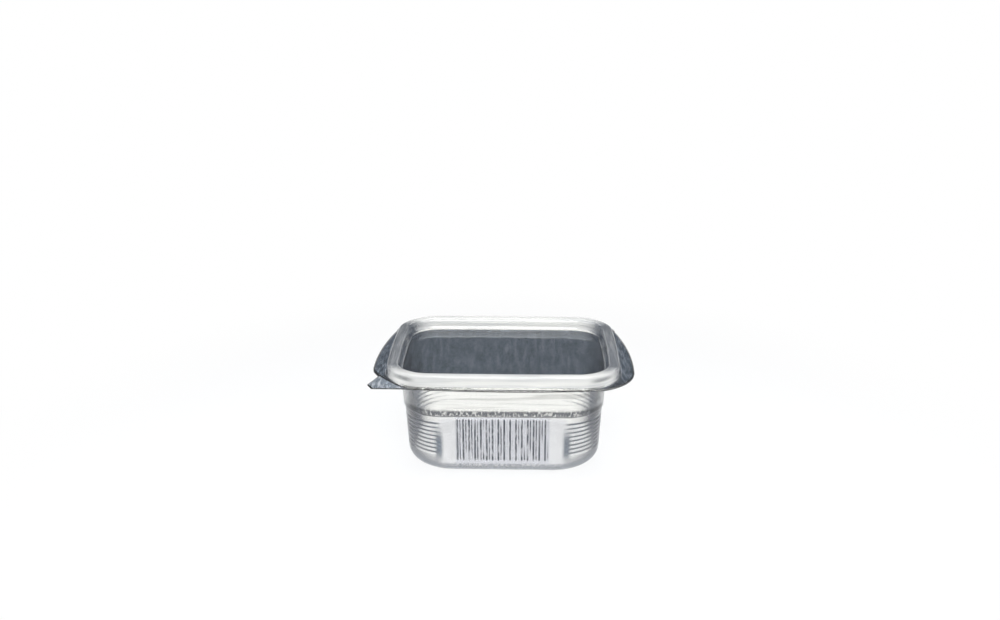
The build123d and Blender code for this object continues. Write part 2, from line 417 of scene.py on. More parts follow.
# %% The tub's walls, shoulder and plain band
RINGS_PER_RIB = 5
SHOULDER_RINGS = (
    (43.8, 0.0), (44.1, 0.08), (44.3, 0.25), (44.5, 0.5), (44.7, 0.75), (44.9, 0.92), (45.2, 1.0),
)
BAND_HEIGHTS = (50.0, 56.0, 62.0, 66.0, 66.8, 67.1)
rib_ring_count = round((RIB_HIGH - RIB_LOW) / RIB_PITCH) * RINGS_PER_RIB + 1
wall_heights = [11.0, 11.8, 12.4, 12.9, 13.4]
wall_heights += [RIB_LOW + i * RIB_PITCH / RINGS_PER_RIB for i in range(rib_ring_count)]
wall_heights += [40.2, 40.8, 41.3, 41.8, 42.3, 42.8, 43.4]
for height in wall_heights:
    tub_rings.append((pressed(tub_outline(height, HALF + STEP_DEPTH), height), height))
for height, share in SHOULDER_RINGS:
    tub_rings.append((tub_outline(height, HALF + STEP_DEPTH * (1 - share)), height))
for height in BAND_HEIGHTS:
    tub_rings.append((tub_outline(height, HALF), height))
print("rings up to the mouth:", len(tub_rings))

# %% [markdown]
# At its mouth the sheet crosses a narrow ledge and rises into the bead, a hollow ridge that
# plugs into the lid and keeps it shut. Then it comes down outside and runs out flat as the
# flange. A separate bead could be laid on top, but it would leave a seam that the real sheet
# doesn't have. So the tub's rings go on, now along the rim's outline, each with its own
# inset and height.

# %% The walls of the bead and of the hollow ridge over it
BEAD_TOP = 75.5
BEAD_FOOT = 8.625
BEAD_SHOULDER = 6.825
BEAD_GAP = 0.4
RIDGE_LEAN = 0.15


def bead_inner(height):
    """Inset of the bead's inner wall, measured on the inside of the tub."""
    return BEAD_FOOT + (BEAD_SHOULDER - BEAD_FOOT) * (height - LEDGE) / (BEAD_TOP - LEDGE)


def ridge_outer(height):
    """Inset of the lid ridge's outer wall, nothing at its top edge."""
    return (height - TOP) * RIDGE_LEAN


def bead_outer(height):
    """Inset of the bead's outer wall, a little inside the hollow ridge."""
    return ridge_outer(height) + SHEET + BEAD_GAP


print("bead width at its top:", round(bead_inner(BEAD_TOP) - bead_outer(BEAD_TOP), 2), "mm")

# %% The tub's bead and flange
FLANGE_INSETS = (1.5, 0.1)
ledge = LEDGE + HALF
roof = BEAD_TOP - HALF
tub_level = FLANGE - HALF
bead_rings = [
    (bead_inner(ledge) + 0.6, ledge),
    (bead_inner(ledge) + 0.1, ledge + 0.12),
    (bead_inner(ledge) - HALF, ledge + 0.6),
]
bead_rings += [(bead_inner(height) - HALF, height) for height in (70.0, 72.5, 74.4)]
bead_rings += [
    (bead_inner(roof) - 0.45, roof - 0.2),
    (bead_inner(roof) - 0.95, roof),
    (bead_outer(roof) + 0.95, roof),
    (bead_outer(roof) + 0.45, roof - 0.2),
]
bead_rings += [(bead_outer(height) + HALF, height) for height in (74.4, 72.5, 70.6, 69.9)]
bead_rings += [
    (bead_outer(tub_level) + 0.1, tub_level + 0.12),
    (bead_outer(tub_level) - 0.5, tub_level),
]
tub_rings.append((tub_outline(LEDGE, -0.15), ledge))
tub_rings += [(rim_outline(inset), height) for inset, height in bead_rings]
tub_rings += [(flange_outline(True, inset), tub_level) for inset in FLANGE_INSETS]
tub = shell_object("tub_shell", tub_rings)
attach(tub, "base")
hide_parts("base")

# %% [markdown]
# The lid closes the tub. It starts in the middle of its sunk panel, climbs the inner wall of
# the ridge, crosses the ridge's flat top and comes down outside to its own flange, which
# lies on the tub's. The ridge makes the lid stiff and takes up the bead. It could be swept
# along a curve and joined to a plate, but one skin from the same columns has no joints.

# %% The lid's panel and ridge
PANEL = 70.0
PANEL_SHARES = (0.05, 0.35, 0.7, 0.93)
RIDGE_WIDTH = 7.0
RIDGE_INNER_LEAN = 0.29
CREST_STEPS = 4
panel = PANEL - HALF
crest = TOP - HALF


def ridge_inner(height):
    """Inset of the ridge's inner wall, on the side of the panel."""
    return RIDGE_WIDTH + (TOP - height) * RIDGE_INNER_LEAN


panel_points = rim_outline(ridge_inner(panel))
lid_rings = [([(x * share, y * share) for x, y in panel_points], panel) for share in PANEL_SHARES]
ridge_rings = [
    (ridge_inner(panel) + 0.9, panel),
    (ridge_inner(panel) + 0.2, panel + 0.2),
    (ridge_inner(panel + 0.9) - HALF, panel + 0.9),
]
ridge_rings += [(ridge_inner(height) - HALF, height) for height in (72.5, 75.0, 76.6)]
for i in range(1, CREST_STEPS + 1):
    angle = math.pi / 2 * i / CREST_STEPS
    inset = ridge_inner(crest) - HALF - (1 - math.cos(angle))
    ridge_rings.append((inset, crest - 1 + math.sin(angle)))
print("rings up to the crest:", len(lid_rings) + len(ridge_rings))

# %% The lid's outer wall and flange
lid_level = FLANGE + HALF
for i in range(CREST_STEPS + 1):
    angle = math.pi / 2 * i / CREST_STEPS
    ridge_rings.append((HALF + 1 - math.sin(angle), crest - 1 + math.cos(angle)))
ridge_rings += [(ridge_outer(height) + HALF, height) for height in (75.0, 72.5, 70.9)]
ridge_rings += [
    (ridge_outer(lid_level) + 0.05, lid_level + 0.25),
    (ridge_outer(lid_level) - 0.7, lid_level),
]
lid_rings += [(rim_outline(inset), height) for inset, height in ridge_rings]
lid_rings += [(flange_outline(False, inset), lid_level) for inset in FLANGE_INSETS]
lid = shell_object("lid_shell", lid_rings)
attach(lid, "lid")
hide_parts("lid")

# %% [markdown]
# At the back a strip of the same sheet joins the two flanges, and it bends each time the lid
# opens. A flat band would do while the pack is shut, but a real strip keeps a small loop, so
# that it bends without a crease. A line of edges is drawn round that loop and extruded along
# the pack.

# %% The loop of the living hinge
HINGE_HALF = 59.0
HINGE_SHEET = 0.4
ROOT_Y = 72.0
ROOT_SINK = 0.05
FOLD_Y = 74.0
FOLD_RADIUS = 1.4
LOOP_STEPS = 14
loop = [Vector((-HINGE_HALF, ROOT_Y, FLANGE - HALF - ROOT_SINK))]
for i in range(LOOP_STEPS + 1):
    angle = math.radians(-140 + 280 * i / LOOP_STEPS)
    y = FOLD_Y + FOLD_RADIUS * math.cos(angle)
    z = FLANGE + FOLD_RADIUS * math.sin(angle)
    loop.append(Vector((-HINGE_HALF, y, z)))
loop.append(Vector((-HINGE_HALF, ROOT_Y, FLANGE + HALF + ROOT_SINK)))
print("points round the loop:", len(loop))

# %% The strip along the back
HINGE_STEPS = 24
bm = bmesh.new()
last = bmesh.ops.create_vert(bm, co=loop[0] * MM)["vert"][0]
line_edges = []
for place in loop[1:]:
    grown = bmesh.ops.extrude_vert_indiv(bm, verts=[last])
    last = grown["verts"][0]
    last.co = place * MM
    line_edges += grown["edges"]
shift = Vector((2 * HINGE_HALF / HINGE_STEPS, 0, 0)) * MM
for step in range(HINGE_STEPS):
    grown = bmesh.ops.extrude_edge_only(bm, edges=line_edges)
    moved = {g for g in grown["geom"] if isinstance(g, bmesh.types.BMVert)}
    bmesh.ops.translate(bm, verts=list(moved), vec=shift)
    fresh = [g for g in grown["geom"] if isinstance(g, bmesh.types.BMEdge)]
    line_edges = [edge for edge in fresh if edge.verts[0] in moved and edge.verts[1] in moved]
web = sheet_object("hinge_web", bm, HINGE_SHEET)
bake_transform(web)
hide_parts("living_hinge")

# %% [markdown]
# Sheet that has been heated and drawn is never quite even, and all three materials need the
# marks of it. An image could carry them, but noise needs no pixels and no UV map, and on
# Object coordinates it stays in place when the lid swings. So two node groups are built
# once and placed in each material. The first gives slow waves and fine upright draw lines as
# a height for the bump, and a little roughness. The second is a grain that can be stretched
# along any axis.

# %% A group for the waves and draw lines


def forming_marks():
    """A shader group: Vector in, Height and Roughness out."""
    group = bpy.data.node_groups.new("forming_marks", "ShaderNodeTree")
    group.interface.new_socket("Vector", in_out="INPUT", socket_type="NodeSocketVector")
    group.interface.new_socket("Height", in_out="OUTPUT", socket_type="NodeSocketFloat")
    group.interface.new_socket("Roughness", in_out="OUTPUT", socket_type="NodeSocketFloat")
    nodes, links = group.nodes, group.links
    entry = nodes.new("NodeGroupInput")
    leave = nodes.new("NodeGroupOutput")
    waves = nodes.new("ShaderNodeTexNoise")
    waves.inputs["Scale"].default_value = 38.0
    waves.inputs["Detail"].default_value = 2.0
    squeeze = nodes.new("ShaderNodeMapping")
    squeeze.inputs["Scale"].default_value = (1.0, 1.0, 0.12)
    lines = nodes.new("ShaderNodeTexNoise")
    lines.inputs["Scale"].default_value = 420.0
    lines.inputs["Detail"].default_value = 3.0
    links.new(entry.outputs["Vector"], waves.inputs["Vector"])
    links.new(entry.outputs["Vector"], squeeze.inputs["Vector"])
    links.new(squeeze.outputs["Vector"], lines.inputs["Vector"])
    faint = nodes.new("ShaderNodeMath")
    faint.operation = "MULTIPLY_ADD"
    faint.inputs[1].default_value = 0.18
    links.new(lines.outputs["Fac"], faint.inputs[0])
    links.new(waves.outputs["Fac"], faint.inputs[2])
    links.new(faint.outputs[0], leave.inputs["Height"])
    rough = nodes.new("ShaderNodeMapRange")
    rough.inputs["From Min"].default_value = 0.35
    rough.inputs["From Max"].default_value = 0.75
    rough.inputs["To Min"].default_value = 0.02
    rough.inputs["To Max"].default_value = 0.09
    links.new(lines.outputs["Fac"], rough.inputs["Value"])
    links.new(rough.outputs["Result"], leave.inputs["Roughness"])
    return group


marks_group = forming_marks()
print("group:", marks_group.name)

# %% A group for stretched grain


def sheet_grain():
    """A shader group: Vector, Scale per metre and Stretch in, Mask out."""
    group = bpy.data.node_groups.new("sheet_grain", "ShaderNodeTree")
    group.interface.new_socket("Vector", in_out="INPUT", socket_type="NodeSocketVector")
    group.interface.new_socket("Scale", in_out="INPUT", socket_type="NodeSocketFloat")
    group.interface.new_socket("Stretch", in_out="INPUT", socket_type="NodeSocketVector")
    group.interface.new_socket("Mask", in_out="OUTPUT", socket_type="NodeSocketFloat")
    nodes, links = group.nodes, group.links
    entry = nodes.new("NodeGroupInput")
    leave = nodes.new("NodeGroupOutput")
    squeeze = nodes.new("ShaderNodeMapping")
    noise = nodes.new("ShaderNodeTexNoise")
    noise.inputs["Detail"].default_value = 2.0
    links.new(entry.outputs["Vector"], squeeze.inputs["Vector"])
    links.new(entry.outputs["Stretch"], squeeze.inputs["Scale"])
    links.new(squeeze.outputs["Vector"], noise.inputs["Vector"])
    links.new(entry.outputs["Scale"], noise.inputs["Scale"])
    links.new(noise.outputs["Fac"], leave.inputs["Mask"])
    return group


grain_group = sheet_grain()
print("group:", grain_group.name)

# %% [markdown]
# Each material is a tree of small nodes. They could be placed and wired by hand in the
# editor, but in a script a few short functions keep them readable: one node of arithmetic,
# a product of several values, an S-curve between two values, a band with soft ends, a mix
# of two colours, and the grain.

# %% Helpers for arithmetic in a shader


def calculate(tree, operation, *values):
    """One Math node; each input is a socket or a number."""
    node = tree.nodes.new("ShaderNodeMath")
    node.operation = operation
    for socket, value in zip(node.inputs, values):
        if isinstance(value, (int, float)):
            socket.default_value = value
        else:
            tree.links.new(value, socket)
    return node.outputs[0]


def product(tree, *factors):
    """All the factors multiplied."""
    result = factors[0]
    for factor in factors[1:]:
        result = calculate(tree, "MULTIPLY", result, factor)
    return result


def metres(*lengths):
    """Millimetres as metres."""
    return [length * MM for length in lengths]


# %% Helpers for soft limits


def ramp(tree, value, low, high, start=0.0, end=1.0):
    """An S-curve from start to end while the value goes from low to high."""
    node = tree.nodes.new("ShaderNodeMapRange")
    node.interpolation_type = "SMOOTHSTEP"
    node.inputs["From Min"].default_value = low
    node.inputs["From Max"].default_value = high
    node.inputs["To Min"].default_value = start
    node.inputs["To Max"].default_value = end
    tree.links.new(value, node.inputs["Value"])
    return node.outputs["Result"]


def band(tree, value, low, high, soft):
    """1 between low and high, fading to 0 over the soft distance inside each end."""
    rise = ramp(tree, value, low, low + soft)
    fall = ramp(tree, value, high - soft, high, 1.0, 0.0)
    return calculate(tree, "MULTIPLY", rise, fall)


# %% Helpers for colour and grain


def mix_color(tree, factor, first, second):
    """A colour between two, each a socket or three numbers."""
    node = tree.nodes.new("ShaderNodeMix")
    node.data_type = "RGBA"
    tree.links.new(factor, node.inputs["Factor"])
    for name, color in (("A", first), ("B", second)):
        if isinstance(color, tuple):
            node.inputs[name].default_value = (*color, 1)
        else:
            tree.links.new(color, node.inputs[name])
    return node.outputs["Result"]


def grain(tree, at, scale, stretch=(1, 1, 1)):
    """The grain group at this place; a stretch below 1 draws the grain out along an axis."""
    node = tree.nodes.new("ShaderNodeGroup")
    node.node_tree = grain_group
    node.inputs["Scale"].default_value = scale
    node.inputs["Stretch"].default_value = stretch
    tree.links.new(at["vector"], node.inputs["Vector"])
    return node.outputs["Mask"]


# %% [markdown]
# The tints below depend on where a place is on the pack and which way it faces. A UV map or
# a painted mask could say so, but the pack's own coordinates already do, to the millimetre.
# x and y are distances from the middle, so that one rule serves both sides. Level is 1 where
# the sheet lies flat and 0 where it stands upright, and outer is 1 only on the outside.

# %% Place and direction on the sheet


def sheet_coordinates(tree):
    """Sockets for a place, the way it faces, and whether it is on the outside."""
    where = tree.nodes.new("ShaderNodeTexCoord")
    place = tree.nodes.new("ShaderNodeSeparateXYZ")
    tree.links.new(where.outputs["Object"], place.inputs[0])
    turned = tree.nodes.new("ShaderNodeSeparateXYZ")
    tree.links.new(where.outputs["Normal"], turned.inputs[0])
    away_x = calculate(tree, "MULTIPLY", place.outputs["X"], turned.outputs["X"])
    away_y = calculate(tree, "MULTIPLY", place.outputs["Y"], turned.outputs["Y"])
    outward = calculate(tree, "GREATER_THAN", calculate(tree, "ADD", away_x, away_y), 0.0)
    side = tree.nodes.new("ShaderNodeNewGeometry")
    front = calculate(tree, "SUBTRACT", 1.0, side.outputs["Backfacing"])
    return {
        "vector": where.outputs["Object"],
        "x": calculate(tree, "ABSOLUTE", place.outputs["X"]),
        "y": calculate(tree, "ABSOLUTE", place.outputs["Y"]),
        "z": place.outputs["Z"],
        "turn_x": turned.outputs["X"],
        "turn_y": turned.outputs["Y"],
        "turn_z": turned.outputs["Z"],
        "level": calculate(tree, "ABSOLUTE", turned.outputs["Z"]),
        "outer": calculate(tree, "MULTIPLY", outward, front),
    }


# %% [markdown]
# Looked through squarely the sheet is almost clear. At a slant it is painted slate grey: a
# longer way through the sheet gives a little of this, and the rest is painted shade, the dark
# surroundings that clear sheet shows, put into its colour. The tub's flange keeps the full
# thickness of the sheet and is painted dark, with light streaks. The walls are drawn thinner
# and are painted lighter, most of all the plain band, and the corners get the darkest painted
# shade. A volume inside the sheet could give the real part of this, but it is slow to render
# and can't be baked, so the slanted tint is a colour.

# %% The tub's painted shade at a slant
# The sheet's own near-clear tint, then painted shade at a slant for the flange, walls, plain band,
# flat parts and corners.
SQUARE_TINT = (0.985, 0.985, 0.965)
PAINTED_WING_SHADE = (0.07, 0.095, 0.135)
WING_STREAK = (0.36, 0.41, 0.49)
PAINTED_WALL_SHADE = (0.05, 0.06, 0.085)
PAINTED_BAND_SHADE = (0.45, 0.46, 0.47)
FLAT_TINT = (0.92, 0.93, 0.95)
PAINTED_CORNER_SHADE = (0.006, 0.009, 0.015)


def tub_slant_shade(tree, at, turning):
    """Painted shade at a slant on the tub's walls, corners, flat parts and flange."""
    low = ramp(tree, at["z"], *metres(44.0, 49.0), 1.0, 0.0)
    wall = mix_color(tree, low, PAINTED_BAND_SHADE, PAINTED_WALL_SHADE)
    wall = mix_color(tree, turning, wall, PAINTED_CORNER_SHADE)
    flat = ramp(tree, at["level"], 0.6, 0.95)
    drawn = mix_color(tree, flat, wall, FLAT_TINT)
    streak = ramp(tree, grain(tree, at, 480.0, (1, 0.2, 1)), 0.45, 0.7)
    flange = band(tree, at["z"], *metres(67.0, 71.0, 1.5))
    return mix_color(tree, flange, drawn, mix_color(tree, streak, PAINTED_WING_SHADE, WING_STREAK))


# %% [markdown]
# A drawn wall bends the light at every form that is pressed into it. So the flanks of the
# flutes, the undersides of the ribs, the shoulder, the foot and the outer edges of the
# smooth panels show as dark lines and specks. Glass and a fine mesh alone give only part of
# this, because the rest mirrors surroundings that aren't modelled. That rest is painted into
# the colour as painted shade and painted reflection, laid over the tint, each line as an
# amount between 0 and 1 and a colour.

# %% Painted shade on the flutes and ribs
# Painted shade: the flutes' flanks, and the ribs' sides and darker undersides.
PAINTED_FLANK_SHADE = (0.006, 0.009, 0.016)
PAINTED_RIB_SHADE = (0.2, 0.23, 0.3)
PAINTED_UNDERSIDE_SHADE = (0.02, 0.026, 0.04)


def flute_shade_lines(tree, at, wide_x, wide_y):
    """How much painted shade lies on the flanks of a flute, stronger on one side."""
    streaks = grain(tree, at, 330.0, (1, 1, 0.06))
    breaks = grain(tree, at, 620.0, (1, 1, 0.35))
    lines = []
    for wide, turn in ((wide_x, at["turn_x"]), (wide_y, at["turn_y"])):
        one = ramp(tree, turn, 0.12, 0.42)
        other = ramp(tree, turn, -0.5, -0.25, 1.0, 0.0)
        one = product(tree, one, ramp(tree, streaks, 0.3, 0.45, 0.35, 1.0))
        other = product(tree, other, ramp(tree, streaks, 0.42, 0.56, 0.1, 1.0))
        lines.append(product(tree, wide, calculate(tree, "MAXIMUM", one, other)))
    height = band(tree, at["z"], *metres(FLUTE_LOW - 0.5, FLUTE_HIGH + 0.5, 0.5))
    whole = calculate(tree, "MAXIMUM", *lines)
    return product(tree, at["outer"], whole, height, ramp(tree, breaks, 0.3, 0.5, 0.45, 1.0))


def rib_shade_lines(tree, at, turning):
    """Painted shade on the ribs: grey where they don't face up, darker on their undersides."""
    ribbed = band(tree, at["z"], *metres(RIB_LOW - 0.5, RIB_HIGH + 0.5, 0.5))
    corner = product(tree, ribbed, turning)
    upper = product(tree, corner, ramp(tree, at["turn_z"], 0.05, 0.3, 0.5, 0.0))
    under = product(tree, corner, ramp(tree, at["turn_z"], -0.4, -0.05, 1.0, 0.0))
    return (upper, PAINTED_RIB_SHADE), (under, PAINTED_UNDERSIDE_SHADE)


# %% Painted shade on the shoulder and the smooth panels' edges, and rings in the plain band
# Painted shade for the shoulder step and the smooth panels' edges, and a grey for the plain band's
# rings.
PAINTED_SHOULDER_SHADE = (0.02, 0.023, 0.03)
BAND_RING_TINT = (0.55, 0.55, 0.53)
PAINTED_EDGE_SHADE = (0.05, 0.068, 0.1)


def shoulder_shade(tree, at):
    """Painted shade on the step above the flutes, broken up by tall specks."""
    step = band(tree, at["z"], *metres(43.2, 50.8, 2.6))
    specks = ramp(tree, grain(tree, at, 580.0, (1, 1, 0.6)), 0.34, 0.52, 0.55, 1.0)
    return product(tree, at["outer"], step, specks), PAINTED_SHOULDER_SHADE


def band_rings(tree, at):
    """Fine level grey rings in the plain band."""
    rings = ramp(tree, grain(tree, at, 420.0, (0.03, 0.03, 1)), 0.48, 0.62)
    height = band(tree, at["z"], *metres(49.0, 67.0, 2.0))
    return product(tree, rings, at["outer"], height), BAND_RING_TINT


def panel_edge_shade(tree, at, corner_y):
    """Painted shade on the upright edge where a smooth panel meets the ribs."""
    height = band(tree, at["z"], *metres(5.0, 38.0, 12.0))
    upright = ramp(tree, at["level"], 0.3, 0.5, 1.0, 0.0)
    across = band(tree, at["x"], *metres(39.6, 48.0, 3.4))
    return product(tree, at["outer"], height, upright, across, corner_y), PAINTED_EDGE_SHADE


# %% Painted shade on the foot and low in the corners
PAINTED_FOOT_SHADE = (0.2, 0.22, 0.26)
PAINTED_HEEL_SHADE = (0.08, 0.095, 0.125)


def foot_shade(tree, at):
    """Painted shade on the rounded foot all round, with small specks."""
    height = band(tree, at["z"], *metres(0.6, 9.5, 2.0))
    specks = ramp(tree, grain(tree, at, 600.0), 0.35, 0.6, 0.25, 1.0)
    return product(tree, at["outer"], height, specks), PAINTED_FOOT_SHADE


def heel_shade(tree, at, turning):
    """Painted shade: a soft dark patch low in each corner."""
    height = band(tree, at["z"], *metres(0.6, 14.5, 4.0))
    return product(tree, turning, height, 0.6), PAINTED_HEEL_SHADE


# %% The tub's tints together
# Painted shade on the lower walls, less in the corners so the ribs' upper sides stay light, and
# more on the fluted panels.
PAINTED_LOW_WALL_SHADE = (0.8, 0.8, 0.88)
PAINTED_FLUTED_SHADE = (0.69, 0.7, 0.8)


def tub_tints(tree, at):
    """(painted shade at a slant, and (amount, tint) pairs laid over it, mostly painted shade) for
    the tub.
    """
    wide_x = ramp(tree, at["x"], *metres(31.5, 33.0), 1.0, 0.0)
    wide_y = ramp(tree, at["y"], *metres(15.4, 16.5), 1.0, 0.0)
    corner_x = ramp(tree, at["x"], *metres(41.0, 46.0))
    corner_y = ramp(tree, at["y"], *metres(21.0, 26.0))
    below_band = band(tree, at["z"], *metres(2.0, 46.0, 3.0))
    turning = product(tree, at["outer"], corner_x, corner_y, below_band)
    low_wall_shade = product(tree, at["outer"], band(tree, at["z"], *metres(7.0, 45.0, 1.5)))
    return tub_slant_shade(tree, at, turning), (
        (product(tree, low_wall_shade, ramp(tree, turning, 0.0, 1.0, 0.6, 0.15)), PAINTED_LOW_WALL_SHADE),
        (product(tree, low_wall_shade, calculate(tree, "MAXIMUM", wide_x, wide_y)), PAINTED_FLUTED_SHADE),
        *rib_shade_lines(tree, at, turning),
        panel_edge_shade(tree, at, corner_y),
        (flute_shade_lines(tree, at, wide_x, wide_y), PAINTED_FLANK_SHADE),
        shoulder_shade(tree, at),
        band_rings(tree, at),
        foot_shade(tree, at),
        heel_shade(tree, at, turning),
    )


# %% [markdown]
# The lid's panel is the least drawn part of the sheet. At a slant it is painted nearly black,
# with slow streaks, and its flange is painted like the tub's: painted shade for the dark
# surroundings that clear sheet shows. The ridge is the most drawn part: it is thin and milky,
# partly from its own haze and partly as a painted reflection of the lamps. Its side walls get
# painted grey shade, and its corners a faint painted reflection where the sheet turns. One
# material with a mask could hold all of it, but the milky ridge needs less transmission than
# the rest, so it has a tint and a material of its own.

# %% The lid's tints
# Painted shade at a slant for the lid's panel, with slow lighter streaks.
PAINTED_PANEL_SHADE = (0.007, 0.011, 0.019)
PANEL_STREAK = (0.02, 0.028, 0.045)
RIDGE_LINE_TINT = (0.83, 0.84, 0.84)
# Painted shade on the ridge's side walls, and a painted reflection in its corners.
PAINTED_RIDGE_SIDE_SHADE = (0.06, 0.08, 0.115)
PAINTED_RIDGE_REFLECTION = (0.24, 0.25, 0.26)


def lid_tints(tree, at):
    """Painted shade at a slant for the lid's panel and flange, with nothing laid over it."""
    slow = ramp(tree, grain(tree, at, 300.0, (1, 0.1, 1)), 0.4, 0.8)
    panel_shade = mix_color(tree, slow, PAINTED_PANEL_SHADE, PANEL_STREAK)
    fine = ramp(tree, grain(tree, at, 560.0, (1, 0.2, 1)), 0.42, 0.68)
    wing_shade = mix_color(tree, fine, PAINTED_WING_SHADE, WING_STREAK)
    wing = ramp(tree, at["x"], *metres(79.0, 82.0))
    return mix_color(tree, wing, panel_shade, wing_shade), ()


def ridge_tints(tree, at):
    """The same for the ridge: level lines, painted grey shade on the side walls and a painted
    reflection in the corners.
    """
    rings = ramp(tree, grain(tree, at, 520.0, (0.03, 0.03, 1)), 0.46, 0.62)
    hollow = product(tree, band(tree, at["z"], *metres(74.6, 77.2, 0.8)), 0.5)
    lines = calculate(tree, "MAXIMUM", rings, hollow)
    # Painted shade on the upright walls of the ridge's long sides.
    sides = ramp(tree, at["y"], *metres(40.0, 58.0), 1.0, 0.0)
    upright = ramp(tree, at["level"], 0.5, 0.9, 1.0, 0.8)
    streak = ramp(tree, grain(tree, at, 520.0, (1, 0.1, 1)), 0.35, 0.6, 0.85, 1.0)
    side_wall_shade = product(tree, sides, upright, streak)
    # Painted reflection of the dark flange in each corner of the ridge.
    across = band(tree, at["x"], *metres(56.0, 77.0, 9.0))
    along = ramp(tree, at["y"], *metres(44.0, 56.0))
    height = band(tree, at["z"], *metres(73.0, 77.2, 2.0))
    turn = product(tree, across, along, height, at["outer"])
    return SQUARE_TINT, (
        (lines, RIDGE_LINE_TINT),
        (side_wall_shade, PAINTED_RIDGE_SIDE_SHADE),
        (turn, PAINTED_RIDGE_REFLECTION),
    )


# %% [markdown]
# The finish is clear plastic with a soft gloss. A Glass shader is the usual start, but the
# Principled one also has the haze of drawn sheet: what its transmission leaves is a little
# plain colour. Layer Weight's Facing says how slanted the view is and picks the tint, which
# at a slant is mostly painted shade. Lamps pass straight through for shadow and diffuse rays,
# so the floor under the pack stays bright.

# %% The clear surface
SHEET_IOR = 1.55
WAVE_STRENGTH = 0.35
WAVE_HEIGHT = 0.6


def clear_surface(tree, tints, clearness, slant_range):
    """The shader of the sheet; the tints come from the function that is handed in."""
    nodes, links = tree.nodes, tree.links
    at = sheet_coordinates(tree)
    glass = nodes.new("ShaderNodeBsdfPrincipled")
    glass.inputs["Metallic"].default_value = 0.0
    glass.inputs["Transmission Weight"].default_value = clearness
    glass.inputs["IOR"].default_value = SHEET_IOR
    formed = nodes.new("ShaderNodeGroup")
    formed.node_tree = marks_group
    links.new(at["vector"], formed.inputs["Vector"])
    links.new(formed.outputs["Roughness"], glass.inputs["Roughness"])
    bump = nodes.new("ShaderNodeBump")
    bump.inputs["Strength"].default_value = WAVE_STRENGTH
    bump.inputs["Distance"].default_value = WAVE_HEIGHT * MM
    links.new(formed.outputs["Height"], bump.inputs["Height"])
    links.new(bump.outputs["Normal"], glass.inputs["Normal"])
    facing = nodes.new("ShaderNodeLayerWeight")
    facing.inputs["Blend"].default_value = 0.5
    slant = ramp(tree, facing.outputs["Facing"], *slant_range)
    # At a slant the tint turns to painted shade, and painted shade and reflection lines are laid
    # over it.
    slant_tint, lines = tints(tree, at)
    tint = mix_color(tree, slant, SQUARE_TINT, slant_tint)
    for amount, line_tint in lines:
        tint = mix_color(tree, amount, tint, line_tint)
    links.new(tint, glass.inputs["Base Color"])
    return glass


# %% The clear material
PASSING_TINT = (0.975, 0.975, 0.975)


def clear_sheet(name, tints, clearness, slant_range):
    """A clear material through which lamps pass without bending."""
    material = bpy.data.materials.new(name)
    material.use_nodes = True
    tree = material.node_tree
    nodes, links = tree.nodes, tree.links
    nodes.clear()
    output = nodes.new("ShaderNodeOutputMaterial")
    glass = clear_surface(tree, tints, clearness, slant_range)
    passing = nodes.new("ShaderNodeBsdfTransparent")
    passing.inputs["Color"].default_value = (*PASSING_TINT, 1)
    ray = nodes.new("ShaderNodeLightPath")
    shadow, diffuse = ray.outputs["Is Shadow Ray"], ray.outputs["Is Diffuse Ray"]
    choose = nodes.new("ShaderNodeMixShader")
    links.new(calculate(tree, "MAXIMUM", shadow, diffuse), choose.inputs["Fac"])
    links.new(glass.outputs[0], choose.inputs[1])
    links.new(passing.outputs[0], choose.inputs[2])
    links.new(choose.outputs[0], output.inputs["Surface"])
    return material


# %% Materials on the pieces
RIDGE_FOOT = 70.6
tub_material = clear_sheet("clear_tub_sheet", tub_tints, 1.0, (0.12, 0.52))
lid_material = clear_sheet("clear_lid_sheet", lid_tints, 1.0, (0.06, 0.62))
# The ridge's lower transmission makes it milky white: partly its own haze, partly a painted
# reflection of the lamps.
ridge_material = clear_sheet("clear_ridge_sheet", ridge_tints, 0.64, (0.25, 0.75))
tub.data.materials.append(tub_material)
lid.data.materials.append(lid_material)
lid.data.materials.append(ridge_material)
web.data.materials.append(ridge_material)
for face in lid.data.polygons:
    if face.center.z > RIDGE_FOOT * MM:
        face.material_index = 1
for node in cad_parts.values():
    for slot in node.material_slots:
        slot.material = tub_material
print("faces of the ridge:", sum(face.material_index for face in lid.data.polygons))

# %% [markdown]
# The pack stands on a plain pale sheet. A wide plane with a backdrop would do, but its edge
# would show in low views. So near the pack the floor is diffuse and keeps the soft shadow,
# and further off it fades into plain white for the camera, mirrors and glass alike.

# %% The floor's shape
FLOOR_RADIUS = 20.0
FLOOR_DROP = 0.0002
bm = bmesh.new()
bmesh.ops.create_circle(bm, cap_ends=True, segments=64, radius=FLOOR_RADIUS)
mesh = bpy.data.meshes.new("floor")
bm.to_mesh(mesh)
bm.free()
floor = bpy.data.objects.new("floor", mesh)
floor.location.z = -FLOOR_DROP
bpy.context.scene.collection.objects.link(floor)
print("floor radius:", FLOOR_RADIUS, "m")

# %% The floor's finish


def seen_directly(tree):
    """1 for camera, glossy and transmission rays, and 0 for rays that only carry light."""
    ray = tree.nodes.new("ShaderNodeLightPath")
    glossy, through = ray.outputs["Is Glossy Ray"], ray.outputs["Is Transmission Ray"]
    glassy = calculate(tree, "MAXIMUM", glossy, through)
    return calculate(tree, "MAXIMUM", ray.outputs["Is Camera Ray"], glassy)


